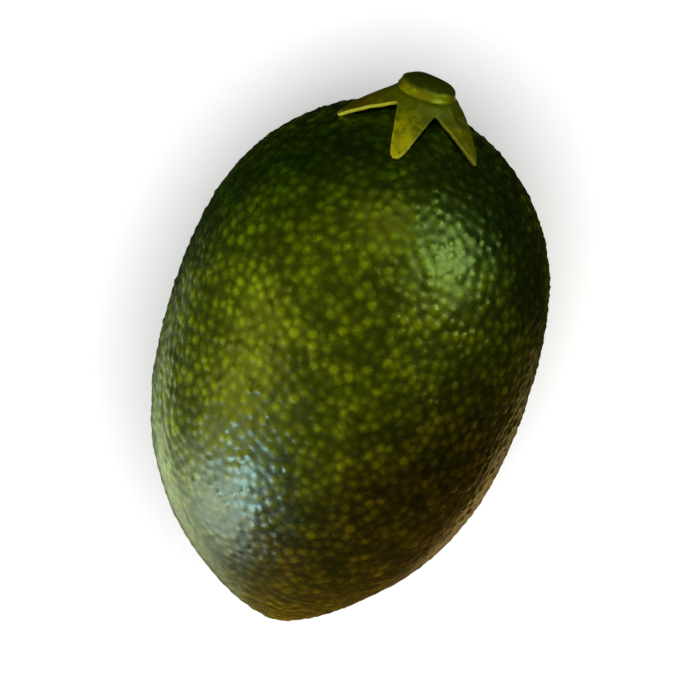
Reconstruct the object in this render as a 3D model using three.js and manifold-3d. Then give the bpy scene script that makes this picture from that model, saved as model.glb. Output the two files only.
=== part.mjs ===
// A limequat as picked: the fruit, its calyx of five sepals and the clipped stub of its stem,
// lying on its side.
//
// Millimetres, +Z up. The fruit's long axis runs along Y, with the stem end towards +Y and a
// little raised. The origin is on the surface that the fruit rests on, below the middle of
// the whole object's box.

import * as THREE from "three";
import { mergeVertices } from "three/addons/utils/BufferGeometryUtils.js";
import Module from "manifold-3d";

// Driving dimensions.

const FRUIT_LENGTH = 39.2; // pole to pole, without the nipple and the neck
const FRUIT_GIRTH = 26.3; // across the middle
const FULLNESS = [1, 0.074, 0.149, 0.168, -0.281]; // full shoulders, tapered tip
const NIPPLE = { height: 0.3, radius: 1.1 }; // round the scar of the style
const NECK = { height: 0.6, radius: 3.2 }; // a low rise under the calyx

const STEM_RAISED = radians(5); // the stem end's rise off the horizontal
const FLAT_SPOT_DEPTH = 0.3; // how far the underside is pressed flat
const STEM_LEAN = radians(6); // the calyx sits this far off the fruit's axis, on its upper side

const SEAT_GAP = 0.2; // between pieces that touch
const SINUS = 2.45; // centre of the calyx to the notch between two sepals, along the surface
const SEPALS = [
  { at: -6, reach: 6.4 }, // at: degrees round the stem from the upper side
  { at: 57, reach: 6.1 }, // reach: centre of the calyx to the sepal's end
  { at: 135, reach: 4.8 },
  { at: 207, reach: 5.2 },
  { at: 280, reach: 5.7 },
];
const SEPAL_END = 0.9; // width of a sepal's blunt end
const SEPAL_THICKNESS = 0.25; // at its end
const SEPAL_ARCH = 0.45; // how far a sepal stands off the fruit half way along
const COLLAR_THICKNESS = 0.55; // at the middle of the calyx

const STUB_RADIUS = 2.0;
const STUB_HEIGHT = 0.75; // at its axis
const STUB_FLARE = 0.3; // how much wider it is at its foot
const STUB_HOLLOW = 0.2; // how far its foot reaches down round the collar
const STUB_EDGE = 0.3; // radius of the clipped end's edge
const STUB_SLOPE = radians(3); // of the clipped end

// Fineness of the meshes.

const RINGS = 40; // along the fruit
const RING_CROWDING = 0.35; // towards its poles, from 0 to 0.5
const SPOKES = { fruit: 64, stub: 32 }; // round it
const CALYX_RINGS = 9;
const SEPAL_SPOKES = 14; // round the calyx, for each sepal
const CALYX_CROWDING = 1.5; // towards its edge and the sepals' ends, from 1 up
const CURVE_STEPS = 6; // in each curve of the stub's outline
const SAME_POINT = 1e-3; // vertices closer than this are one

const wasm = await Module();
wasm.setup();

// The fruit's outline, as a point out from the axis and along it, for an angle that runs from
// 0 at the stem end to pi at the tip.
function outlineAt(angle) {
  const c = Math.cos(angle);
  const fullness = FULLNESS.reduce((sum, share, power) => sum + share * c ** power, 0);
  const out = (FRUIT_GIRTH / 2) * Math.sin(angle) * fullness;
  const nipple = c < 0 ? bump(NIPPLE.height, out, NIPPLE.radius) : 0;
  return new THREE.Vector2(out, (FRUIT_LENGTH / 2) * c - nipple);
}

function bump(height, distance, radius) {
  return height * Math.exp(-((distance / radius) ** 2));
}

function radians(degrees) {
  return THREE.MathUtils.degToRad(degrees);
}

// The calyx sits on the shoulder, which is close to a ball round a point on the fruit's axis.
const SHOULDER_RADIUS = 11;
const SHOULDER_CENTRE = new THREE.Vector3(0, FRUIT_LENGTH / 2 - SHOULDER_RADIUS, 0);
const ACROSS = new THREE.Vector3(1, 0, 0);
const AXIS = new THREE.Vector3(0, 1, 0);
const STEM = AXIS.clone().applyAxisAngle(ACROSS, STEM_LEAN);

// From the shoulder's centre to the fruit's skin, along a unit vector.
function skinDistance(direction) {
  const offAxis = direction.angleTo(AXIS);
  const centre = new THREE.Vector2(0, SHOULDER_CENTRE.y);
  let angle = Math.PI / 2;
  let point = outlineAt(angle).sub(centre);
  for (let step = angle / 2; step > 1e-9; step /= 2) {
    angle += Math.atan2(point.x, point.y) < offAxis ? step : -step;
    point = outlineAt(angle).sub(centre);
  }
  return point.length() + neckAt(direction);
}

function neckAt(direction) {
  return bump(NECK.height, SHOULDER_RADIUS * direction.angleTo(STEM), NECK.radius);
}

// Moves each vertex of a geometry with a function that changes a THREE.Vector3.
function reshape(geometry, move) {
  const positions = geometry.getAttribute("position");
  const point = new THREE.Vector3();
  for (let i = 0; i < positions.count; i++) {
    move(point.fromBufferAttribute(positions, i));
    positions.setXYZ(i, point.x, point.y, point.z);
  }
  geometry.computeVertexNormals();
  return geometry;
}

function solidOf(geometry) {
  const bare = geometry.clone().deleteAttribute("normal").deleteAttribute("uv");
  const merged = mergeVertices(bare, SAME_POINT);
  const vertProperties = merged.getAttribute("position").array;
  const triVerts = new Uint32Array(merged.index.array);
  return new wasm.Manifold(new wasm.Mesh({ numProp: 3, vertProperties, triVerts }));
}

function geometryOf(solid) {
  const { vertProperties, triVerts } = solid.getMesh();
  const geometry = new THREE.BufferGeometry();
  geometry.setAttribute("position", new THREE.BufferAttribute(vertProperties, 3));
  geometry.setIndex(new THREE.BufferAttribute(triVerts, 1));
  geometry.computeVertexNormals();
  return geometry;
}

// The fruit: one turned body, raised a little where the calyx sits. Its rings are crowded
// towards the two poles, where the outline bends most.
function fruitGeometry() {
  const outline = [];
  for (let i = 0; i <= RINGS; i++) {
    const u = 1 - i / RINGS;
    outline.push(outlineAt(Math.PI * u - RING_CROWDING * Math.sin(2 * Math.PI * u)));
  }
  outline[0].x = 0;
  outline[RINGS].x = 0;
  const direction = new THREE.Vector3();
  return reshape(new THREE.LatheGeometry(outline, SPOKES.fruit), (point) => {
    direction.subVectors(point, SHOULDER_CENTRE).normalize();
    point.addScaledVector(direction, neckAt(direction));
  });
}

// The calyx: a collar whose five sepals lie over the shoulder, each arched a little off it.
// A flat turned disc of radius 1 and thickness 1 gives the mesh. Each of its vertices is then
// carried out to the star's edge and laid on the skin.
function calyxGeometry() {
  const underside = [];
  for (let i = 0; i <= CALYX_RINGS; i++) {
    underside.push(new THREE.Vector2(1 - (1 - i / CALYX_RINGS) ** CALYX_CROWDING, 0));
  }
  const upperSide = underside.map((point) => new THREE.Vector2(point.x, 1)).reverse();
  const disc = new THREE.LatheGeometry([...underside, ...upperSide], SEPALS.length * SEPAL_SPOKES);
  return reshape(disc, (point) => {
    const { angle, edge, reach } = starEdge(Math.atan2(point.x, point.z));
    const arc = edge * Math.hypot(point.x, point.z);
    const alongSepal = Math.max(0, (arc - SINUS) / (reach - SINUS));
    const arch = SEPAL_ARCH * Math.sin(Math.PI * alongSepal);
    const thickness = THREE.MathUtils.lerp(COLLAR_THICKNESS, SEPAL_THICKNESS, arc / reach);
    const height = SEAT_GAP + arch + point.y * thickness;
    point.setFromSphericalCoords(1, arc / SHOULDER_RADIUS, angle);
    point.applyAxisAngle(ACROSS, STEM_LEAN);
    point.multiplyScalar(skinDistance(point) + height);
  });
}

// For a spoke of the turned disc: the angle round the stem that it is carried to, how far out
// the star's edge is there, and how far out its sepal ends. Each sepal has a fifth of the
// spokes, from notch to notch, and more of them near its middle, where its end is.
function starEdge(spoke) {
  const turn = THREE.MathUtils.euclideanModulo(spoke / (2 * Math.PI), 1) * SEPALS.length;
  const index = Math.floor(turn) % SEPALS.length;
  const across = 2 * (turn - Math.floor(turn)) - 1; // -1 and 1 at the notches
  const side = across < 0 ? -1 : 1;
  const { at, reach } = SEPALS[index];
  const neighbour = SEPALS[(index + side + SEPALS.length) % SEPALS.length];
  const halfGap = radians(THREE.MathUtils.euclideanModulo(side * (neighbour.at - at), 360) / 2);
  const away = halfGap * Math.abs(across) ** CALYX_CROWDING;
  const notch = new THREE.Vector2(SINUS * Math.sin(halfGap), SINUS * Math.cos(halfGap));
  const corner = new THREE.Vector2(SEPAL_END / 2, reach);
  const flank = corner.clone().sub(notch);
  const onFlank = notch.cross(corner) / (flank.y * Math.sin(away) - flank.x * Math.cos(away));
  return { angle: radians(at) + side * away, edge: Math.min(onFlank, reach), reach };
}

// The stub: what is left of the fruit's stalk. Its foot is hollowed to sit on the collar, it
// narrows a little above it, and its clipped end slopes. Its axis is +Y.
function stubGeometry() {
  const foot = STUB_RADIUS + STUB_FLARE;
  const wallTop = STUB_HEIGHT - STUB_EDGE;
  const outline = new THREE.Path();
  outline.moveTo(0, 0);
  outline.quadraticCurveTo(foot / 2, 0, foot, -STUB_HOLLOW);
  outline.quadraticCurveTo(STUB_RADIUS, 0, STUB_RADIUS, STUB_HEIGHT / 2);
  outline.lineTo(STUB_RADIUS, wallTop);
  outline.absarc(STUB_RADIUS - STUB_EDGE, wallTop, STUB_EDGE, 0, Math.PI / 2);
  outline.lineTo(0, STUB_HEIGHT);
  const turned = new THREE.LatheGeometry(outline.getPoints(CURVE_STEPS), SPOKES.stub);
  return reshape(turned, (point) => {
    const upTheStub = Math.max(0, point.y / STUB_HEIGHT);
    point.y -= upTheStub * point.z * Math.tan(STUB_SLOPE);
  });
}

function piece(name, geometry, color, roughness) {
  const material = new THREE.MeshStandardMaterial({ color, roughness, metalness: 0 });
  const mesh = new THREE.Mesh(geometry, material);
  mesh.name = name;
  return mesh;
}

const fruit = piece("fruit", fruitGeometry(), 0x3f4d08, 0.3);

const calyx = piece("calyx", calyxGeometry(), 0x7d8420, 0.6);
calyx.position.copy(SHOULDER_CENTRE);

const stub = piece("stem_stub", stubGeometry(), 0x55601a, 0.7);
const collarTop = skinDistance(STEM) + SEAT_GAP + COLLAR_THICKNESS;
stub.position.copy(SHOULDER_CENTRE).addScaledVector(STEM, collarTop + SEAT_GAP);
stub.rotation.x = STEM_LEAN;

// Laid down over the origin, and pressed flat where it rests.
const lying = new THREE.Group();
lying.rotation.x = STEM_RAISED;
lying.add(fruit, calyx, stub);

const box = new THREE.Box3().setFromObject(lying, true);
lying.position.y = -(box.min.y + box.max.y) / 2;
lying.position.z = -box.min.z - FLAT_SPOT_DEPTH;
lying.updateMatrixWorld();

const table = new THREE.BoxGeometry(FRUIT_LENGTH, FRUIT_LENGTH, FRUIT_LENGTH);
table.translate(0, 0, -FRUIT_LENGTH / 2);
table.applyMatrix4(fruit.matrixWorld.clone().invert());
fruit.geometry = geometryOf(solidOf(fruit.geometry).subtract(solidOf(table)));

const limequat = new THREE.Group();
limequat.add(lying);

export default limequat;
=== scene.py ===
# A limequat as picked, lying on its side: the fruit in its rind, the calyx over its stem end,
# and the stub that the clippers left of its stalk. Metres, +Z up, stem end towards +Y.

import math

import bpy
import numpy as np
from mathutils import Matrix, Vector, kdtree, noise


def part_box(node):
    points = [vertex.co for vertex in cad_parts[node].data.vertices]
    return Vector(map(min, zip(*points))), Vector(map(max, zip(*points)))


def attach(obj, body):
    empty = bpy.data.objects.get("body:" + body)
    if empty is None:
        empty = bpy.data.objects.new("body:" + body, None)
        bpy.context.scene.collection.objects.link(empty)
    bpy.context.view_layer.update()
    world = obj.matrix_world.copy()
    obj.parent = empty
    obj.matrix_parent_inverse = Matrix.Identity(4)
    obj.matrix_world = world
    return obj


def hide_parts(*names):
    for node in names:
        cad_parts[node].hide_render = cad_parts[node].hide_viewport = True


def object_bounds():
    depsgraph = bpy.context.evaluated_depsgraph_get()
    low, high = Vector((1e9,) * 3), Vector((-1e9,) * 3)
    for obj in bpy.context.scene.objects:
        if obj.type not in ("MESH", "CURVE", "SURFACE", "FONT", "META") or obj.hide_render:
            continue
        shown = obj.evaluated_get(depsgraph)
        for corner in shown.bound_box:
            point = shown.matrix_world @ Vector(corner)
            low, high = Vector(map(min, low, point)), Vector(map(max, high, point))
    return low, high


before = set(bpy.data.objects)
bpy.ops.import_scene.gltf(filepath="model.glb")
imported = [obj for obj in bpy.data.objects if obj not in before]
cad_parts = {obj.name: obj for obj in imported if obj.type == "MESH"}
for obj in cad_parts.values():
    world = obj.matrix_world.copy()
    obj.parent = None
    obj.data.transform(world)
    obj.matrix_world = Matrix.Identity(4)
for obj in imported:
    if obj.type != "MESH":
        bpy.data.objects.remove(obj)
SOLIDS_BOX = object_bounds()


# ---------------------------------------------------------------------------------------------
# The camera
#
# It looks down on the fruit from 350 mm away, a little from beyond its stem end, and shows it
# with its stem end at the top and leaning to the right.

MM = 0.001
CAMERA_AWAY = 350 * MM
CAMERA_OFF_PLUMB = math.radians(11.5)
CAMERA_HEADING = math.radians(8.5)  # which way it is off plumb, from +Y towards +X
VIEW_HEIGHT = 50 * MM  # what it takes in at the fruit
NEAREST_SEEN = 10 * MM
FILM_WIDTH = 36  # millimetres, as lenses are given
FRUIT_LEANS = math.radians(16.8)  # to the right, as the camera shows it
STEM_RAISED = math.radians(5)  # the stem end's rise off the level

to_camera = Vector((
    math.sin(CAMERA_OFF_PLUMB) * math.sin(CAMERA_HEADING),
    math.sin(CAMERA_OFF_PLUMB) * math.cos(CAMERA_HEADING),
    math.cos(CAMERA_OFF_PLUMB),
))
fruit_axis = Vector((0, math.cos(STEM_RAISED), math.sin(STEM_RAISED)))
axis_in_view = (fruit_axis - to_camera * fruit_axis.dot(to_camera)).normalized()
camera_up = Matrix.Rotation(FRUIT_LEANS, 3, to_camera) @ axis_in_view
camera_right = camera_up.cross(to_camera)
camera_turn = Matrix((camera_right, camera_up, to_camera)).transposed()

low, high = SOLIDS_BOX
bpy.ops.object.camera_add(
    location=(low + high) / 2 + to_camera * CAMERA_AWAY,
    rotation=camera_turn.to_euler(),
)
camera = bpy.context.object
camera.name = "camera"
camera.data.sensor_width = FILM_WIDTH
camera.data.lens = FILM_WIDTH * CAMERA_AWAY / VIEW_HEIGHT
camera.data.clip_start = NEAREST_SEEN
bpy.context.scene.camera = camera


# ---------------------------------------------------------------------------------------------
# The fruit
#
# One closed body that grew round its axis: full at the shoulders, tapered to a nipple at the
# tip, pressed flat where it lies. Its waxy rind is raised in a fine pebble over each oil gland.

FRUIT_LENGTH = 39.2 * MM  # pole to pole, without the nipple and the neck
FRUIT_GIRTH = 26.3 * MM  # across the middle
FULLNESS = (1, 0.074, 0.149, 0.168, -0.281)  # by powers of the cosine of the outline's angle
NIPPLE_HEIGHT = 0.05 * MM
NIPPLE_RADIUS = 1.6 * MM
NECK_HEIGHT = 0.6 * MM  # a low rise under the calyx
NECK_RADIUS = 3.2 * MM
OUTLINE_STEPS = 4000
SHOULDER_RADIUS = 11 * MM  # the stem end is close to a ball of this size
SHOULDER_CENTRE = np.array((0, FRUIT_LENGTH / 2 - SHOULDER_RADIUS, 0))
STEM_LEAN = math.radians(6)  # the stem sits this far off the axis, on the upper side
STEM = np.array((0, math.cos(STEM_LEAN), math.sin(STEM_LEAN)))
FULLER_PLACES = (  # where it outgrew its outline, by how much and how far around
    ((-12.5 * MM, -8 * MM, 0), 0.42 * MM, 9 * MM),
    ((-7 * MM, -15.5 * MM, 0), 0.22 * MM, 6 * MM),
    ((3.2 * MM, -18.4 * MM, 0), 0.24 * MM, 3.6 * MM),
)
SWELL = 0.12 * MM  # uneven growth
SWELLS_PER_METRE = 95
HOLLOW = 0.05 * MM  # the shallow hollows and rises of the rind
HOLLOWS_PER_METRE = 560

GLAND_GAP = 0.66 * MM  # the least distance between two oil glands
GLANDS_TRIED = 60000
SEED = 7
EVENED_OUT = 0.4  # how far a gland is moved to the middle of those round it
CUTS_BETWEEN_GLANDS = 3
GLAND_STRAY = 0.06 * MM  # how far a gland is off the middle of its pebble's place
PEBBLE_RADIUS = 0.45 * MM
PEBBLE_HEIGHT = 0.1 * MM
PEBBLE_SIZES = (0.5, 1.5)  # the lowest and the highest, as shares of that height
PEBBLES_VARY = 0.5  # how far a pebble's surface may be off that again
PEBBLES_VARY_PER_METRE = 700
SMOOTHER_TIP = 0.7  # the share of their height that the pebbles lose at the tip
SMOOTHER_WITHIN = 20 * MM
GLAND_SPOT = 0.33 * MM  # radius of the pale spot over a gland
FEW_PALE_GLANDS = 1.3  # the higher, the fewer
CREASE_DEPTH = 0.08 * MM  # of the fine wrinkles round the tip
CREASE_GAP = 0.9 * MM
CREASES_WANDER = 1.2  # in gaps
CREASE_WANDERS_PER_METRE = 400
CREASED_WITHIN = 5 * MM
CREASED_SHARE = 0.6  # 0 leaves half of the tip smooth, and 1 next to nothing
CREASED_PER_METRE = 250
TIP_TAN_WITHIN = 6.5 * MM
TAN_IN_CREASES = (0.6, 0.4)  # the mean of the tan, and what the creases add or take
STILL_GREEN_AT = (6 * MM, 14 * MM, 7 * MM)  # the skin beside the stalk turns last
STILL_GREEN_WITHIN = 6.5 * MM
PAINTED_SHADE_WAY = (0, -0.25, 1)  # square to the band of painted shade that runs round the stem end's flanks
PAINTED_SHADE_AT = 1.5 * MM
PAINTED_SHADE_WITHIN = 3.6 * MM
PAINTED_SHADE_FROM, PAINTED_SHADE_TO = -2 * MM, 5 * MM  # along the fruit, as the painted shade sets in towards the stem
SCAR_RADIUS = 0.75 * MM  # round the scar of the style, where no glands are
SCAR_DEPTH = 0.12 * MM


def bump(height, distance, radius):
    """A rounded rise that fades with the distance from its middle."""
    return height * np.exp(-((distance / radius) ** 2))


def unit(vectors):
    return vectors / np.linalg.norm(vectors, axis=-1, keepdims=True)


def outline(angle):
    """How far the skin is out from the axis, and along it, from 0 at the stem end to pi."""
    c = np.cos(angle)
    out = FRUIT_GIRTH / 2 * np.sin(angle) * np.polyval(FULLNESS[::-1], c)
    nipple = np.where(c < 0, bump(NIPPLE_HEIGHT, out, NIPPLE_RADIUS), 0)
    return out, FRUIT_LENGTH / 2 * c - nipple


OUTLINE_OUT, OUTLINE_ALONG = outline(np.linspace(0, math.pi, OUTLINE_STEPS))


def skin_along(directions, start):
    """How far the skin is from a point of the axis, in each direction."""
    off_axis = np.arccos(np.clip(directions[:, 1], -1, 1))
    along = OUTLINE_ALONG - start
    return np.interp(off_axis, np.arctan2(OUTLINE_OUT, along), np.hypot(OUTLINE_OUT, along))


def neck(directions):
    """The rise of the skin round the stem, by the direction from the shoulder's centre."""
    off_stem = np.arccos(np.clip(directions @ STEM, -1, 1))
    return bump(NECK_HEIGHT, SHOULDER_RADIUS * off_stem, NECK_RADIUS)


def onto_skin(points):
    """Moves points straight out or in from the middle of the fruit until they are on its skin."""
    directions = unit(points)
    points = directions * skin_along(directions, 0)[:, None]
    from_shoulder = unit(points - SHOULDER_CENTRE)
    return points + from_shoulder * neck(from_shoulder)[:, None]


def noise_at(points, per_metre):
    """Smooth noise from about -1 to 1 at each point."""
    return np.array([noise.noise(Vector(point) * per_metre) for point in points])


def swollen(points):
    """The same points with the rind's uneven growth."""
    swell = SWELL * noise_at(points, SWELLS_PER_METRE)
    for place, height, radius in FULLER_PLACES:
        swell += bump(height, np.linalg.norm(points - place, axis=1), radius)
    return points + unit(points) * swell[:, None]


def points_of(piece):
    flat = np.empty(len(piece.data.vertices) * 3)
    piece.data.vertices.foreach_get("co", flat)
    return flat.reshape(-1, 3)


def move_points(piece, points):
    piece.data.vertices.foreach_set("co", points.ravel())
    piece.data.update()


def start_edit(piece):
    """Goes into edit mode on this piece alone, with all of it selected."""
    bpy.ops.object.select_all(action="DESELECT")
    piece.select_set(True)
    bpy.context.view_layer.objects.active = piece
    bpy.ops.object.mode_set(mode="EDIT")
    bpy.ops.mesh.select_all(action="SELECT")


def end_edit():
    bpy.ops.object.mode_set(mode="OBJECT")


def store(piece, name, values):
    """Keeps a value for each point, which the material reads by its name."""
    attribute = piece.data.attributes.new(name, "FLOAT", "POINT")
    attribute.data.foreach_set("value", values)


# The glands: places are tried at random, and one is kept where no other is too near.
dice = np.random.default_rng(SEED)
tried = unit(dice.normal(size=(GLANDS_TRIED, 3)))
tried_on_skin = onto_skin(tried)
all_tried = kdtree.KDTree(GLANDS_TRIED)
for index, place in enumerate(tried_on_skin):
    all_tried.insert(place, index)
all_tried.balance()
free = np.ones(GLANDS_TRIED, bool)
glands = []
for index, place in enumerate(tried_on_skin):
    if free[index]:
        glands.append(tried[index])
        for _, crowded, _ in all_tried.find_range(place, GLAND_GAP):
            free[crowded] = False

# The skin is spanned between the glands, which are evened out and then cut finer.
rind_mesh = bpy.data.meshes.new("rind")
rind_mesh.from_pydata(glands, [], [])
rind = bpy.data.objects.new("rind", rind_mesh)
bpy.context.collection.objects.link(rind)

start_edit(rind)
bpy.ops.mesh.convex_hull()
end_edit()
move_points(rind, onto_skin(points_of(rind)))
start_edit(rind)
bpy.ops.mesh.beautify_fill(angle_limit=math.pi)
bpy.ops.mesh.vertices_smooth(factor=EVENED_OUT, repeat=1)
end_edit()
glands = onto_skin(points_of(rind))
move_points(rind, glands)
start_edit(rind)
bpy.ops.mesh.subdivide(number_cuts=CUTS_BETWEEN_GLANDS)
bpy.ops.mesh.normals_make_consistent(inside=False)
end_edit()

# A pebble over each gland, no two quite alike, and none on the scar at the tip.
points = onto_skin(points_of(rind))
tip = np.array((0, -FRUIT_LENGTH / 2 - NIPPLE_HEIGHT, 0))
gland_tree = kdtree.KDTree(len(glands))
for index, gland in enumerate(glands + dice.normal(0, GLAND_STRAY, glands.shape)):
    gland_tree.insert(gland, index)
gland_tree.balance()
nearest = [gland_tree.find(point) for point in points]
gland_index = np.array([found[1] for found in nearest])
gland_distance = np.array([found[2] for found in nearest])
gland_size = dice.uniform(*PEBBLE_SIZES, len(glands))
gland_tone = dice.uniform(0, 1, len(glands)) ** FEW_PALE_GLANDS
off_tip = np.linalg.norm(points - tip, axis=1)
off_scar = 1 - np.exp(-((off_tip / SCAR_RADIUS) ** 4))
wandering = CREASES_WANDER * noise_at(points, CREASE_WANDERS_PER_METRE)
crease_wave = np.cos(2 * math.pi * (off_tip / CREASE_GAP + wandering))
creased = np.clip(noise_at(points, CREASED_PER_METRE) + CREASED_SHARE, 0, 1)
crease = crease_wave * (bump(CREASE_DEPTH, off_tip, CREASED_WITHIN) * creased)
across_pebble = np.minimum(gland_distance / PEBBLE_RADIUS, 1)
pebble = (1 + np.cos(math.pi * across_pebble)) / 2 * gland_size[gland_index] * off_scar
varied = PEBBLES_VARY * noise_at(points, PEBBLES_VARY_PER_METRE)
pebble *= 1 + varied - bump(SMOOTHER_TIP, off_tip, SMOOTHER_WITHIN)
spot = bump(1, gland_distance, GLAND_SPOT) * off_scar
off_green = np.linalg.norm(points - STILL_GREEN_AT, axis=1)
# Painted shade: a band round the flanks of the stem half is marked to be darkened, as if in shadow.
in_band = bump(1, points @ PAINTED_SHADE_WAY - PAINTED_SHADE_AT, PAINTED_SHADE_WITHIN)
toward_stem = np.clip((points[:, 1] - PAINTED_SHADE_FROM) / (PAINTED_SHADE_TO - PAINTED_SHADE_FROM), 0, 1)
tan_mean, tan_swing = TAN_IN_CREASES
tan = bump(1, off_tip, TIP_TAN_WITHIN) * (tan_mean + tan_swing * crease_wave)

hollow = HOLLOW * noise_at(points, HOLLOWS_PER_METRE)
points = swollen(points)
relief = PEBBLE_HEIGHT * pebble + hollow + crease - SCAR_DEPTH * (1 - off_scar)
points += unit(points) * relief[:, None]


def raised(points):
    """The same points with the stem end raised."""
    turn = np.array(Matrix.Rotation(STEM_RAISED, 3, "X"))
    return points @ turn.T


# Laid where the solid fruit lies: its ends and its highest point are the same.
low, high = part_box("fruit")
bare = raised(glands)
fruit_place = np.array((
    0,
    (low.y + high.y) / 2 - (bare[:, 1].min() + bare[:, 1].max()) / 2,
    high.z - bare[:, 2].max(),
))


def laid_down(points):
    """The same points where the fruit lies."""
    return raised(points) + fruit_place


points = laid_down(points)
points[:, 2] = np.maximum(points[:, 2], low.z)
move_points(rind, points)
store(rind, "gland_spot", spot)
store(rind, "gland_tone", gland_tone[gland_index])
store(rind, "style_scar", 1 - off_scar)
store(rind, "near_tip", tan)
store(rind, "still_green", bump(1, off_green, STILL_GREEN_WITHIN))
store(rind, "painted_flank_shade", in_band * toward_stem)
bpy.ops.object.shade_smooth()


# The rind's finish.
#
# From the stem end to the side that has begun to turn: between the glands, and over them.
# Towards that side the colours darken, partly as browning and partly as painted shade.
SKIN_COLOURS = (
    (0.0, (0.010, 0.018, 0.0015, 1)), (0.2, (0.022, 0.028, 0.0015, 1)),
    (0.62, (0.025, 0.028, 0.0015, 1)), (0.75, (0.018, 0.0165, 0.0015, 1)),
    (0.88, (0.011, 0.0073, 0.0015, 1)), (1.0, (0.018, 0.0105, 0.0015, 1)),
)
GLAND_COLOURS = (
    (0.0, (0.070, 0.138, 0.003, 1)), (0.2, (0.145, 0.180, 0.003, 1)),
    (0.62, (0.165, 0.183, 0.003, 1)), (0.75, (0.125, 0.113, 0.003, 1)),
    (0.88, (0.090, 0.060, 0.003, 1)), (1.0, (0.100, 0.060, 0.003, 1)),
)
TIP_TAN = (0.260, 0.170, 0.025, 1)
# A deep green: the colour of the darker mottles, and of the painted shade on the stem end's flanks.
DEEP_GREEN_MOTTLE_AND_PAINTED_SHADE = (0.004, 0.010, 0.0008, 1)
SCAR_BROWN = (0.060, 0.030, 0.008, 1)
TURNING_AND_SHADE_WAY = (0.6, -0.8, 0)  # towards the side of the tip that turns first, and that is partly painted in shade
TURNING_FROM, TURNING_TO = -15 * MM, 12.5 * MM
TURNING_WANDERS = 3 * MM
TURNING_WANDERS_PER_METRE = 110
STILL_GREEN_BY = -11 * MM  # as if that skin were so much further back
GLAND_SEEN_FROM = 0.05  # of its spot's strength
GLAND_TONES = (0.3, 1.4)  # what the dullest and the palest gland show of its colour
CLUMP_TONES = (0.35, 1.4)  # and in the dullest and the palest clump of glands
CLUMPS_PER_METRE = 640
CLUMP_LEVELS = (0.34, 0.66)  # of the noise, where clumps begin and are full
CLUMP_HAZE = 0.12  # the same colour between the glands of the palest clumps
CLUMP_HAZE_FROM = 0.4
SHADES_PER_METRE = 270
SHADE_LEVELS = (0.36, 0.66)
SHADE_SHARE = 0.4
PAINTED_SHADE_SHARE = 0.75
TAN_SHARES = (0.35, 0.75)  # between the glands, and over them
SCRATCHES_PER_METRE = 2600
SCRATCH_SHARE = 0.5
NOISE_LOW, NOISE_HIGH = 0.3, 0.7  # noise seldom goes beyond these
SPECK_LEVELS = (0.62, 0.7)
GRAIN_PER_METRE = 3500
RIND_ROUGHNESS = (0.24, 0.36)


def new_material(name):
    """A material, and the shader that it comes with."""
    material = bpy.data.materials.new(name)
    material.use_nodes = True
    return material, material.node_tree.nodes["Principled BSDF"]


def add_node(tree, kind, values=None, **settings):
    """Adds a node, with what it is set to and the values of its inputs."""
    node = tree.nodes.new("ShaderNode" + kind)
    for name, setting in settings.items():
        setattr(node, name, setting)
    for name, value in (values or {}).items():
        node.inputs[name].default_value = value
    return node


def stored_value(tree, name):
    """What store() kept for each point."""
    return add_node(tree, "Attribute", attribute_name=name).outputs["Fac"]


def noise_on(tree, place, scale):
    """A noise pattern in the solid, with this many features to the metre."""
    node = add_node(tree, "TexNoise", {"Scale": scale, "Detail": 3, "Roughness": 0.55})
    tree.links.new(place, node.inputs["Vector"])
    return node.outputs["Fac"]


def spread(tree, value, low, high, to_low=0.0, to_high=1.0):
    """A value stretched from one range to another, and held to it."""
    node = add_node(tree, "MapRange", {
        "From Min": low, "From Max": high, "To Min": to_low, "To Max": to_high,
    })
    tree.links.new(value, node.inputs["Value"])
    return node.outputs["Result"]


def blended(tree, share, first, second):
    """Two colours, or outputs that give a colour, mixed by a share of the second."""
    node = add_node(tree, "Mix", data_type="RGBA")
    tree.links.new(share, node.inputs["Factor"])
    for socket, colour in ((node.inputs[6], first), (node.inputs[7], second)):
        if isinstance(colour, tuple):
            socket.default_value = colour
        else:
            tree.links.new(colour, socket)
    return node.outputs[2]


def ramp(tree, value, stops):
    """A colour by a value, through these colours at these values."""
    node = add_node(tree, "ValToRGB")
    elements = node.color_ramp.elements
    while len(elements) < len(stops):
        elements.new(0.5)
    for element, (position, colour) in zip(elements, stops):
        element.position = position
        element.color = colour
    tree.links.new(value, node.inputs["Fac"])
    return node.outputs["Color"]


def combined(tree, operation, first, second):
    """The sum or the product of two values."""
    node = add_node(tree, "Math", operation=operation)
    tree.links.new(first, node.inputs[0])
    tree.links.new(second, node.inputs[1])
    return node.outputs[0]


def new_group(name, takes, gives):
    """An empty node group with these named sockets, and what its nodes take and give."""
    group = bpy.data.node_groups.new(name, "ShaderNodeTree")
    for sockets, side in ((takes, "INPUT"), (gives, "OUTPUT")):
        for socket, kind in sockets.items():
            group.interface.new_socket(socket, in_out=side, socket_type="NodeSocket" + kind)
    taken = group.nodes.new("NodeGroupInput").outputs
    return group, taken, group.nodes.new("NodeGroupOutput").inputs


# Soft marks that grew in the tissue, from 0 to 1 as the noise goes from one level to another.
mottling, taken, given = new_group(
    "mottling",
    {"Place": "Vector", "Marks per metre": "Float", "From": "Float", "To": "Float"},
    {"Amount": "Float"})
marks = add_node(mottling, "TexNoise", {"Detail": 3, "Roughness": 0.6})
levels = add_node(mottling, "MapRange", interpolation_type="SMOOTHSTEP")
mottling.links.new(taken["Place"], marks.inputs["Vector"])
mottling.links.new(taken["Marks per metre"], marks.inputs["Scale"])
mottling.links.new(marks.outputs["Fac"], levels.inputs["Value"])
mottling.links.new(taken["From"], levels.inputs["From Min"])
mottling.links.new(taken["To"], levels.inputs["From Max"])
mottling.links.new(levels.outputs["Result"], given["Amount"])

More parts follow.
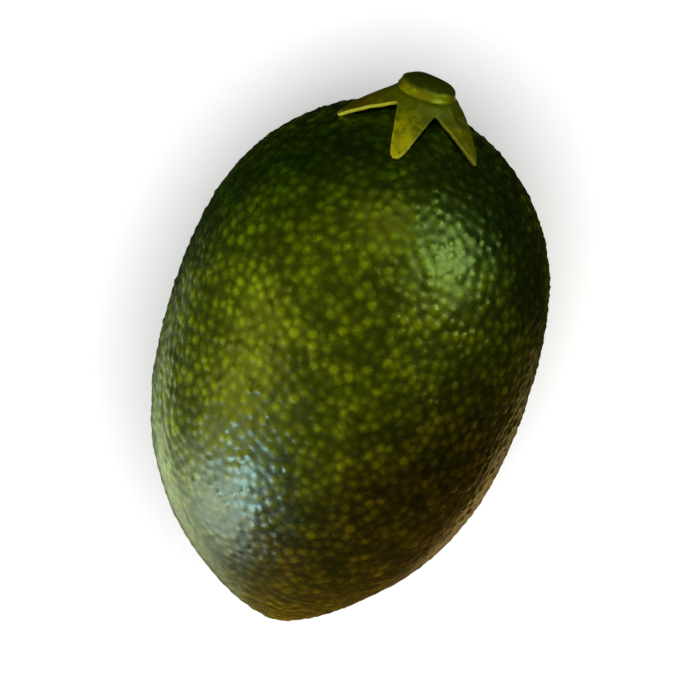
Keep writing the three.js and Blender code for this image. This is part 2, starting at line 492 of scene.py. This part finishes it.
# Small corky specks, where the surface was scratched or has dried.
corking, taken, given = new_group(
    "corky_specks",
    {"Colour": "Color", "Cork": "Color", "Place": "Vector", "Specks per metre": "Float",
     "Share": "Float"},
    {"Colour": "Color"})
specks = add_node(corking, "TexNoise", {"Detail": 2, "Roughness": 0.7})
corking.links.new(taken["Place"], specks.inputs["Vector"])
corking.links.new(taken["Specks per metre"], specks.inputs["Scale"])
corked = spread(corking, specks.outputs["Fac"], *SPECK_LEVELS)
corked = combined(corking, "MULTIPLY", corked, taken["Share"])
corking.links.new(blended(corking, corked, taken["Colour"], taken["Cork"]), given["Colour"])


def mottled(tree, place, per_metre, low, high):
    """The mottling group on this material."""
    node = add_node(
        tree, "Group", {"Marks per metre": per_metre, "From": low, "To": high}, node_tree=mottling)
    tree.links.new(place, node.inputs["Place"])
    return node.outputs["Amount"]


def with_specks(tree, place, colour, cork, per_metre, share):
    """The same colour with corky specks in it."""
    node = add_node(
        tree, "Group", {"Cork": cork, "Specks per metre": per_metre, "Share": share},
        node_tree=corking)
    tree.links.new(colour, node.inputs["Colour"])
    tree.links.new(place, node.inputs["Place"])
    return node.outputs["Colour"]


def add_grain(tree, shader, height, strength, depth):
    """The finest unevenness, which catches the light and is too fine for the mesh."""
    grain = add_node(tree, "Bump", {"Strength": strength, "Distance": depth})
    tree.links.new(height, grain.inputs["Height"])
    tree.links.new(grain.outputs["Normal"], shader.inputs["Normal"])


rind_material, rind_shader = new_material("waxy_rind")
tree = rind_material.node_tree
place = tree.nodes.new("ShaderNodeTexCoord").outputs["Object"]
spot = stored_value(tree, "gland_spot")
tone = stored_value(tree, "gland_tone")
scar = stored_value(tree, "style_scar")
near_tip = stored_value(tree, "near_tip")
still_green = stored_value(tree, "still_green")
painted_flank_shade = stored_value(tree, "painted_flank_shade")

broad = noise_on(tree, place, TURNING_WANDERS_PER_METRE)
clumps = mottled(tree, place, CLUMPS_PER_METRE, *CLUMP_LEVELS)
shade = mottled(tree, place, SHADES_PER_METRE, *SHADE_LEVELS)
fine = noise_on(tree, place, GRAIN_PER_METRE)

# The way along which the rind turns, and along which its darker colours partly paint shade.
turning = add_node(tree, "VectorMath", {1: TURNING_AND_SHADE_WAY}, operation="DOT_PRODUCT")
tree.links.new(place, turning.inputs[0])
wander = spread(tree, broad, NOISE_LOW, NOISE_HIGH, -TURNING_WANDERS, TURNING_WANDERS)
held_back = spread(tree, still_green, 0, 1, 0, STILL_GREEN_BY)
turned_and_shaded = combined(tree, "ADD", turning.outputs["Value"], combined(tree, "ADD", wander, held_back))
turned_and_shaded = spread(tree, turned_and_shaded, TURNING_FROM, TURNING_TO)
seen = spread(tree, spot, GLAND_SEEN_FROM, 1)
share = combined(tree, "MULTIPLY", seen, spread(tree, tone, 0, 1, *GLAND_TONES))
share = combined(tree, "MULTIPLY", share, spread(tree, clumps, 0, 1, *CLUMP_TONES))
share = combined(tree, "ADD", share, spread(tree, clumps, CLUMP_HAZE_FROM, 1, 0, CLUMP_HAZE))
skin = blended(tree, share, ramp(tree, turned_and_shaded, SKIN_COLOURS), ramp(tree, turned_and_shaded, GLAND_COLOURS))
skin = blended(tree, spread(tree, shade, 0, 1, SHADE_SHARE, 0), skin, DEEP_GREEN_MOTTLE_AND_PAINTED_SHADE)
# Painted shade: the flanks of the stem half are darkened towards deep green.
skin = blended(tree, spread(tree, painted_flank_shade, 0, 1, 0, PAINTED_SHADE_SHARE), skin, DEEP_GREEN_MOTTLE_AND_PAINTED_SHADE)
tanned = combined(tree, "MULTIPLY", near_tip, spread(tree, spot, 0, 1, *TAN_SHARES))
skin = blended(tree, tanned, skin, TIP_TAN)
skin = with_specks(tree, place, skin, SCAR_BROWN, SCRATCHES_PER_METRE, SCRATCH_SHARE)
skin = blended(tree, scar, skin, SCAR_BROWN)
roughness = spread(tree, fine, NOISE_LOW, NOISE_HIGH, *RIND_ROUGHNESS)
tree.links.new(skin, rind_shader.inputs["Base Color"])
tree.links.new(roughness, rind_shader.inputs["Roughness"])
rind_shader.inputs["Specular IOR Level"].default_value = 0.45
add_grain(tree, rind_shader, fine, strength=0.25, depth=0.02 * MM)
rind.data.materials.append(rind_material)

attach(rind, "root")
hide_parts("fruit")


# ---------------------------------------------------------------------------------------------
# The calyx
#
# A leathery collar that parts into five sepals. It grew as one piece and stayed on when the
# fruit was picked. The sepals lie over the shoulder, arched a little off it, and dry from
# their blunt ends.

COLLAR_EDGE = 2.0 * MM  # radius of the collar, where the sepals' slope begins
SINUS = 2.45 * MM  # from the middle of the calyx to the notch between two sepals
# Each sepal: degrees round the stem from the upper side; in millimetres its reach, the width of
# its end, its arch and how high its tip is off the skin; and how dry its end is, and how pale its
# rim is, which is partly a paler margin and partly a painted highlight on the edge that catches the
# light.
SEPALS = (
    {"at": -6, "reach": 6.45, "end": 0.95, "arch": 0.12, "tip": 0.32, "dry": 0.0, "pale": 0.2},
    {"at": 54, "reach": 6.2, "end": 0.36, "arch": 0.10, "tip": 0.32, "dry": 0.75, "pale": 0.25},
    {"at": 142, "reach": 4.3, "end": 0.6, "arch": 0.0, "tip": 0.36, "dry": 0.4, "pale": 0.3},
    {"at": 212, "reach": 5.2, "end": 0.6, "arch": 0.05, "tip": 0.36, "dry": 0.3, "pale": 0.3},
    {"at": 287, "reach": 6.0, "end": 0.45, "arch": 0.12, "tip": 0.30, "dry": 1.0, "pale": 1.0},
)
ROUNDING = 14  # of the sepals' ends: the higher, the sharper
COLLAR_TOP = 1.05 * MM  # above the skin
SLOPE_CURVE = 0.9  # 1 makes the sepals' slope straight
FILLET = 0.28 * MM  # the collar's rise against the stub
FILLET_WIDTH = 0.35 * MM
SEPAL_THICKNESS = 0.27 * MM
ROOT_WITHIN = 1.1 * MM  # the collar is rooted in the fruit as far out as this
ROOT_DEPTH = 0.1 * MM
DROOP = 70  # a sepal's edges hang by this times their distance from its midrib, squared
MIDRIB = 0.09 * MM
MIDRIB_WIDTH = 0.3 * MM
UNEVEN = 0.08 * MM
UNEVEN_PER_METRE = 1900
UNEVEN_LAYER = 9 * MM  # which layer of the noise the flat sheet is cut from
RIM_FROM = 0.95  # of the way out to the edge
CALYX_RINGS = 22
SEPAL_SPOKES = 28
RINGS_CROWD = 1.3  # the higher, the closer they lie towards the edge
SPOKES_CROWD = 1.5  # and the spokes towards the sepals' midribs


def of_sepal(index, name):
    """One of the values of SEPALS, for each of these sepals."""
    return np.array([sepal[name] for sepal in SEPALS])[index % len(SEPALS)]


def star(spoke):
    """Where a spoke of the round sheet goes.

    Gives its angle, the star's edge there, its sepal and how far round it is from the midrib.
    """
    turn = (spoke / (2 * math.pi)) % 1 * len(SEPALS)
    index = np.floor(turn).astype(int)
    across = 2 * (turn - index) - 1
    side = np.where(across < 0, -1, 1)
    at, reach = of_sepal(index, "at"), of_sepal(index, "reach") * MM
    half_end = of_sepal(index, "end") * MM / 2
    half_gap = np.radians((side * (of_sepal(index + side, "at") - at)) % 360 / 2)
    away = half_gap * np.abs(across) ** SPOKES_CROWD
    notch_out, notch_up = SINUS * np.sin(half_gap), SINUS * np.cos(half_gap)
    flank_out, flank_up = half_end - notch_out, reach - notch_up
    on_flank = (notch_out * reach - notch_up * half_end) / (
        flank_up * np.sin(away) - flank_out * np.cos(away))
    edge = (np.abs(on_flank) ** -ROUNDING + reach ** -ROUNDING) ** (-1 / ROUNDING)
    return np.radians(at) + side * away, edge, index, side * away


bpy.ops.object.select_all(action="DESELECT")
bpy.ops.mesh.primitive_circle_add(
    vertices=len(SEPALS) * SEPAL_SPOKES, radius=1, fill_type="NGON")
sepals = bpy.context.object
sepals.name = "sepals"
start_edit(sepals)
for ring in range(CALYX_RINGS - 1):
    bpy.ops.mesh.inset(thickness=1 / CALYX_RINGS)
bpy.ops.mesh.poke()
end_edit()

# Each point of the flat sheet is carried out to its place in the star and laid on the fruit.
points = points_of(sepals)
out_share = np.minimum(np.hypot(points[:, 0], points[:, 1]), 1)
sheet_share = 1 - (1 - out_share) ** RINGS_CROWD
angle, edge, index, off_rib = star(np.arctan2(points[:, 0], points[:, 1]))
reach = of_sepal(index, "reach") * MM
arc = edge * sheet_share
along = np.clip((arc - COLLAR_EDGE) / (reach - COLLAR_EDGE), 0, 1)
across = arc * np.sin(off_rib)
rib = bump(MIDRIB, across, MIDRIB_WIDTH) * np.minimum(arc / SINUS, 1) * (1 - along)
arch = of_sepal(index, "arch") * MM * np.sin(math.pi * along)
slope = COLLAR_TOP + (of_sepal(index, "tip") * MM - COLLAR_TOP) * along ** SLOPE_CURVE
layer = np.full(len(arc), UNEVEN_LAYER)
flat = np.stack((arc * np.sin(angle), arc * np.cos(angle), layer), axis=1)
uneven = UNEVEN * noise_at(flat, UNEVEN_PER_METRE) * np.minimum(arc / SINUS, 1)
fillet = FILLET * np.exp(-np.maximum(arc - COLLAR_EDGE, 0) / FILLET_WIDTH)
top = slope + fillet + arch + rib + uneven - DROOP * across ** 2 * along
rooted = np.clip((arc - ROOT_WITHIN) / (SINUS - ROOT_WITHIN), 0, 1)
rooted = 1 - rooted ** 2 * (3 - 2 * rooted)
thickness = SEPAL_THICKNESS + (COLLAR_TOP + ROOT_DEPTH - SEPAL_THICKNESS) * rooted
polar = arc / SHOULDER_RADIUS
directions = np.stack((
    np.sin(polar) * np.sin(angle), np.cos(polar), np.sin(polar) * np.cos(angle)), axis=1)
directions = directions @ np.array(Matrix.Rotation(STEM_LEAN, 3, "X")).T
reach_of_skin = skin_along(directions, SHOULDER_CENTRE[1]) + neck(directions)
points = SHOULDER_CENTRE + directions * (reach_of_skin + top)[:, None]
move_points(sepals, laid_down(points))
store(sepals, "along_sepal", along)
store(sepals, "dryness", of_sepal(index, "dry") * np.minimum(2 * along, 1))
# The pale rim: partly a paler margin, partly a painted highlight on the lit edge, strongest on the
# sepal at 287 degrees.
rim = np.clip((sheet_share - RIM_FROM) / (1 - RIM_FROM), 0, 1)
store(sepals, "pale_rim_with_painted_highlight", rim * of_sepal(index, "pale"))

# The sheet gets its thickness, which is the collar's full depth in the middle.
thick = sepals.vertex_groups.new(name="thick")
for number, share in enumerate(thickness / thickness.max()):
    thick.add([number], share, "REPLACE")
start_edit(sepals)
bpy.ops.mesh.normals_make_consistent(inside=False)
end_edit()
stem_way = raised(STEM)
if sum(np.dot(face.normal, stem_way) * face.area for face in sepals.data.polygons) < 0:
    sepals.data.flip_normals()
solidify = sepals.modifiers.new("thickness", "SOLIDIFY")
solidify.thickness = thickness.max()
solidify.offset = -1
solidify.vertex_group = "thick"
bpy.ops.object.modifier_apply(modifier="thickness")
subdivision = sepals.modifiers.new("rounding", "SUBSURF")
subdivision.levels = subdivision.render_levels = 1
bpy.ops.object.modifier_apply(modifier="rounding")
bpy.ops.object.shade_smooth()

SEPAL_GREEN = (0.066, 0.076, 0.002, 1)
SEPAL_YELLOW = (0.33, 0.285, 0.002, 1)
SEPAL_BROWN = (0.055, 0.040, 0.003, 1)
SEPAL_PALE_AND_HIGHLIGHT = (0.50, 0.48, 0.42, 1)
BLOTCHES_PER_METRE = 1300
BLOTCH_LEVELS = (0.36, 0.64)
RIPE_BY_BLOTCHES = (0.24, -0.1)  # what they add to the way along the sepal, from least to most
RIPE_FROM, RIPE_TO = 0.28, 0.68  # from green to yellow
BROWN_FROM = 0.5
BROWN_SHARE = 0.36
SEPAL_SPECKS_PER_METRE = 3800
VEINS_PER_METRE = 4200
SEPAL_ROUGHNESS = (0.42, 0.6)

sepal_material, sepal_shader = new_material("drying_sepal")
tree = sepal_material.node_tree
place = tree.nodes.new("ShaderNodeTexCoord").outputs["Object"]
along_sepal = stored_value(tree, "along_sepal")
pale_rim_with_painted_highlight = stored_value(tree, "pale_rim_with_painted_highlight")
dryness = stored_value(tree, "dryness")
blotches = mottled(tree, place, BLOTCHES_PER_METRE, *BLOTCH_LEVELS)
ripe = combined(tree, "ADD", along_sepal, spread(tree, blotches, 0, 1, *RIPE_BY_BLOTCHES))
leaf = blended(tree, spread(tree, ripe, RIPE_FROM, RIPE_TO), SEPAL_GREEN, SEPAL_YELLOW)
leaf = blended(tree, spread(tree, blotches, BROWN_FROM, 1, 0, BROWN_SHARE), leaf, SEPAL_BROWN)
leaf = blended(tree, dryness, leaf, SEPAL_BROWN)
leaf = with_specks(tree, place, leaf, SEPAL_BROWN, SEPAL_SPECKS_PER_METRE, 1.0)
# Painted highlight, partly a real paler margin: the rim is blended towards a whitish pale.
leaf = blended(tree, pale_rim_with_painted_highlight, leaf, SEPAL_PALE_AND_HIGHLIGHT)
roughness = spread(tree, blotches, 0, 1, *SEPAL_ROUGHNESS)
tree.links.new(leaf, sepal_shader.inputs["Base Color"])
tree.links.new(roughness, sepal_shader.inputs["Roughness"])
veins = noise_on(tree, place, VEINS_PER_METRE)
add_grain(tree, sepal_shader, veins, strength=0.5, depth=0.05 * MM)
sepals.data.materials.append(sepal_material)

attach(sepals, "root")
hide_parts("calyx")


# ---------------------------------------------------------------------------------------------
# The stub of the stalk
#
# What the clippers left: a short plug of green twig that widens into the collar, with a domed,
# darkened end.

STUB_TOP = 2.14 * MM  # above the skin, at its axis
STUB_SLOPE_BACK = math.radians(2)  # the clippers left it higher on one side
STUB_SLOPE_SIDE = math.radians(5)
STUB_WEATHERED_SIDE = (-0.95, -0.3)
STUB_UNEVEN = 0.07  # of its radius
STUB_RIDGES = 0.08 * MM
STUB_UNEVEN_PER_METRE = 700
STUB_SPOKES = 64
STUB_FOOT = 0.3 * MM  # above the skin
STUB_FOOT_RADIUS = 1.5 * MM
STUB_OUTLINE = (  # height above the skin and radius, from the foot up, in millimetres
    (0.7, 1.7), (0.95, 2.0), (1.1, 2.16), (1.24, 2.12), (1.36, 2.03), (1.52, 1.98), (1.66, 1.97),
    (1.78, 1.9), (1.88, 1.76), (1.97, 1.54), (2.05, 1.2), (2.11, 0.8), (2.14, 0.4),
)
OFF_THE_AXIS = 0.001 * MM  # so that the point on the axis has a side too

bpy.ops.object.select_all(action="DESELECT")
bpy.ops.mesh.primitive_circle_add(
    vertices=STUB_SPOKES, radius=STUB_FOOT_RADIUS, fill_type="NGON", location=(0, 0, STUB_FOOT))
stub = bpy.context.object
stub.name = "stalk_stub"
bpy.ops.object.transform_apply()
start_edit(stub)
height, radius = STUB_FOOT, STUB_FOOT_RADIUS
for next_height, next_radius in STUB_OUTLINE:
    bpy.ops.mesh.extrude_region_move(
        TRANSFORM_OT_translate={"value": (0, 0, next_height * MM - height)})
    bpy.ops.transform.resize(
        value=(next_radius * MM / radius, next_radius * MM / radius, 1),
        center_override=(0, 0, next_height * MM))
    height, radius = next_height * MM, next_radius * MM
bpy.ops.mesh.poke()
bpy.ops.mesh.select_all(action="SELECT")
bpy.ops.mesh.normals_make_consistent(inside=False)
end_edit()
subdivision = stub.modifiers.new("rounding", "SUBSURF")
subdivision.levels = subdivision.render_levels = 2
bpy.ops.object.modifier_apply(modifier="rounding")
bpy.ops.object.shade_smooth()

# Its outline is never quite round, and its end has faint ridges.
points = points_of(stub)
up_stub = (points[:, 2] - STUB_FOOT) / (STUB_TOP - STUB_FOOT)
around = unit(points[:, :2] + OFF_THE_AXIS)
store(stub, "up_stub", up_stub)
store(stub, "weathered", np.clip(around @ STUB_WEATHERED_SIDE, 0, 1) ** 2)
uneven = noise_at(points, STUB_UNEVEN_PER_METRE)
cut = -points[:, 1] * math.tan(STUB_SLOPE_BACK) - points[:, 0] * math.tan(STUB_SLOPE_SIDE)
points[:, :2] *= (1 + STUB_UNEVEN * uneven)[:, None]
points[:, 2] += (STUB_RIDGES * uneven + cut) * np.clip(up_stub, 0, 1)
move_points(stub, points)

# It is stood on the skin where the stem grew, with the fruit as it lies.
seat = skin_along(STEM[None, :], SHOULDER_CENTRE[1])[0] + neck(STEM[None, :])[0]
stub.rotation_euler = (STEM_RAISED + STEM_LEAN - math.pi / 2, 0, 0)
stub.location = laid_down(SHOULDER_CENTRE + STEM * seat)
bpy.ops.object.transform_apply()

STUB_GREEN = (0.30, 0.32, 0.004, 1)
STUB_DARK = (0.016, 0.026, 0.001, 1)
STUB_BROWN = (0.075, 0.065, 0.004, 1)
BARK_BLOTCHES_PER_METRE = 700
BARK_BLOTCH_LEVELS = (0.38, 0.62)
BROWN_BY_BLOTCHES = 0.75
BROWN_BY_WEATHER = 0.75
DARK_FROM, DARK_TO = 0.74, 0.86  # of the way up
DARK_SHARE = 0.92
DARK_EDGE_WANDERS = 0.04
BARK_SPECKS_PER_METRE = 2400
BARK_SPECK_SHARE = 0.8
BARK_GRAIN_PER_METRE = 3600
BARK_ROUGHNESS = (0.34, 0.55)

stub_material, stub_shader = new_material("clipped_twig")
tree = stub_material.node_tree
place = tree.nodes.new("ShaderNodeTexCoord").outputs["Object"]
up_stub = stored_value(tree, "up_stub")
weathered = stored_value(tree, "weathered")
blotches = mottled(tree, place, BARK_BLOTCHES_PER_METRE, *BARK_BLOTCH_LEVELS)
in_blotches = spread(tree, blotches, 0, 1, 0, BROWN_BY_BLOTCHES)
on_weathered = spread(tree, weathered, 0, 1, 0, BROWN_BY_WEATHER)
browning = combined(tree, "ADD", in_blotches, on_weathered)
bark = blended(tree, spread(tree, browning, 0, 1), STUB_GREEN, STUB_BROWN)
wander = spread(tree, blotches, 0, 1, -DARK_EDGE_WANDERS, DARK_EDGE_WANDERS)
darkened = combined(tree, "ADD", up_stub, wander)
darkened = spread(tree, darkened, DARK_FROM, DARK_TO, 0, DARK_SHARE)
bark = blended(tree, darkened, bark, STUB_DARK)
bark = with_specks(tree, place, bark, STUB_BROWN, BARK_SPECKS_PER_METRE, BARK_SPECK_SHARE)
roughness = spread(tree, blotches, 0, 1, *BARK_ROUGHNESS)
tree.links.new(bark, stub_shader.inputs["Base Color"])
tree.links.new(roughness, stub_shader.inputs["Roughness"])
fibres = noise_on(tree, place, BARK_GRAIN_PER_METRE)
add_grain(tree, stub_shader, fibres, strength=0.6, depth=0.06 * MM)
stub.data.materials.append(stub_material)

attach(stub, "root")
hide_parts("stem_stub")


# ---------------------------------------------------------------------------------------------
# The floor
#
# A plain pale sheet that the fruit lies on. It shows to the camera alone, so that nothing but
# the lamps lights the fruit.

FLOOR_SIZE = 6
FLOOR_BELOW = 0.02 * MM  # under the fruit's flat spot, so that the two never share a face
FLOOR_WHITE = (0.88, 0.88, 0.88, 1)

bpy.ops.mesh.primitive_plane_add(size=FLOOR_SIZE, location=(0, 0, -FLOOR_BELOW))
floor = bpy.context.object
floor.name = "floor"
floor_material, floor_shader = new_material("pale_floor")
floor_shader.inputs["Base Color"].default_value = FLOOR_WHITE
floor_shader.inputs["Roughness"].default_value = 0.9
floor.data.materials.append(floor_material)
floor.visible_glossy = False
floor.visible_diffuse = False
floor.visible_shadow = False


# ---------------------------------------------------------------------------------------------
# The light
#
# Soft lamps that fade to their rims: cool windows on the tip's left, dimmer ones on the stem
# end's right, soft light from above, and the warm glow of a table from below.

LIGHT_AWAY = 1.5
SOFT_LIGHT_PEAK = 10 / 3  # at the middle of a lamp that fades to its rim, times its mean


def lit_by_it(name, *pieces):
    """A collection of the pieces that a lamp lights."""
    collection = bpy.data.collections.new(name)
    for piece in pieces:
        collection.objects.link(piece)
    return collection


def light(name, lit, heading, elevation, wide, tall, radiance, gives="both"):
    """A soft light that faces the fruit, with all angles in degrees.

    The heading goes from +Y towards +X. Wide and tall are what it spans, seen from the fruit.
    It gives gloss, which is its reflection alone, light without a reflection, or both.
    """
    heading, elevation = math.radians(heading), math.radians(elevation)
    towards = Vector((
        math.cos(elevation) * math.sin(heading),
        math.cos(elevation) * math.cos(heading),
        math.sin(elevation),
    ))
    bpy.ops.object.light_add(
        type="AREA",
        location=towards * LIGHT_AWAY,
        rotation=towards.to_track_quat("Z", "Y").to_euler(),
    )
    lamp = bpy.context.object
    lamp.name = name
    lamp.data.shape = "ELLIPSE"
    lamp.data.size = 2 * LIGHT_AWAY * math.tan(math.radians(wide / 2))
    lamp.data.size_y = 2 * LIGHT_AWAY * math.tan(math.radians(tall / 2))
    # An ellipse has pi / 4 of its box's area, and gives pi times its radiance from each part of it.
    lamp.data.color = [part / max(radiance) for part in radiance]
    lamp.data.energy = max(radiance) * math.pi * math.pi / 4 * lamp.data.size * lamp.data.size_y
    lamp.data.use_nodes = True
    tree = lamp.data.node_tree
    on_lamp = tree.nodes.new("ShaderNodeNewGeometry").outputs["Parametric"]
    off_middle = add_node(tree, "VectorMath", {1: (0.5, 0.5, 0)}, operation="DISTANCE")
    tree.links.new(on_lamp, off_middle.inputs[0])
    glow = add_node(tree, "MapRange", {
        "From Min": 0, "From Max": 0.5, "To Min": SOFT_LIGHT_PEAK, "To Max": 0,
    }, interpolation_type="SMOOTHSTEP")
    tree.links.new(off_middle.outputs["Value"], glow.inputs["Value"])
    tree.links.new(glow.outputs["Result"], tree.nodes["Emission"].inputs["Strength"])
    lamp.visible_camera = False
    lamp.visible_diffuse = gives != "gloss"
    lamp.visible_glossy = gives != "light"
    lamp.light_linking.receiver_collection = lit


on_fruit = lit_by_it("the_fruit", rind, sepals, stub)
on_floor = lit_by_it("the_floor", floor)
light("window", on_fruit, -146, -2, 50, 62, (1.5, 1.95, 1.45))
light("window_pane", on_fruit, -148, 21, 17, 24, (5.8, 10.6, 10.8))
light("side_light", on_fruit, -138, 32, 40, 60, (3.5, 3.5, 0.15), "light")
light("side_sheen", on_fruit, -116, 30, 50, 60, (1.0, 1.05, 0.05), "gloss")
light("far_window", on_fruit, 52, 31, 50, 44, (2.3, 3.6, 0.85), "gloss")
light("right_window", on_fruit, 60, 46, 56, 44, (0.5, 0.55, 0.05), "gloss")
light("far_light", on_fruit, -16, 56, 38, 38, (4.7, 5.2, 0.4), "light")
light("back_sheen", on_fruit, 4, 42, 60, 44, (0.75, 0.78, 0.04), "gloss")
light("top_light", on_fruit, -90, 76, 60, 60, (0.3, 0.3, 0.03), "light")
light("table_glow", on_fruit, -136, -42, 56, 44, (0.65, 0.8, 0.45))
light("warm_fill", on_fruit, 138, -40, 50, 50, (11.0, 8.2, 1.4), "light")
light("warm_table_glow", on_fruit, 130, -58, 32, 20, (0.42, 0.3, 0.1), "gloss")
light("floor_light", on_floor, -150, 68, 100, 100, (0.9, 0.9, 0.9))
light("floor_fill", on_floor, 60, 60, 120, 100, (0.8, 0.8, 0.8))

ROOM_COLOUR = (1, 0.95, 0.88, 1)
ROOM_STRENGTH = 0.004  # next to nothing: the shaded side stays dark

world = bpy.data.worlds.new("room")
world.use_nodes = True
background = world.node_tree.nodes["Background"]
background.inputs["Color"].default_value = ROOM_COLOUR
background.inputs["Strength"].default_value = ROOM_STRENGTH
bpy.context.scene.world = world
bpy.context.scene.view_settings.view_transform = "Standard"
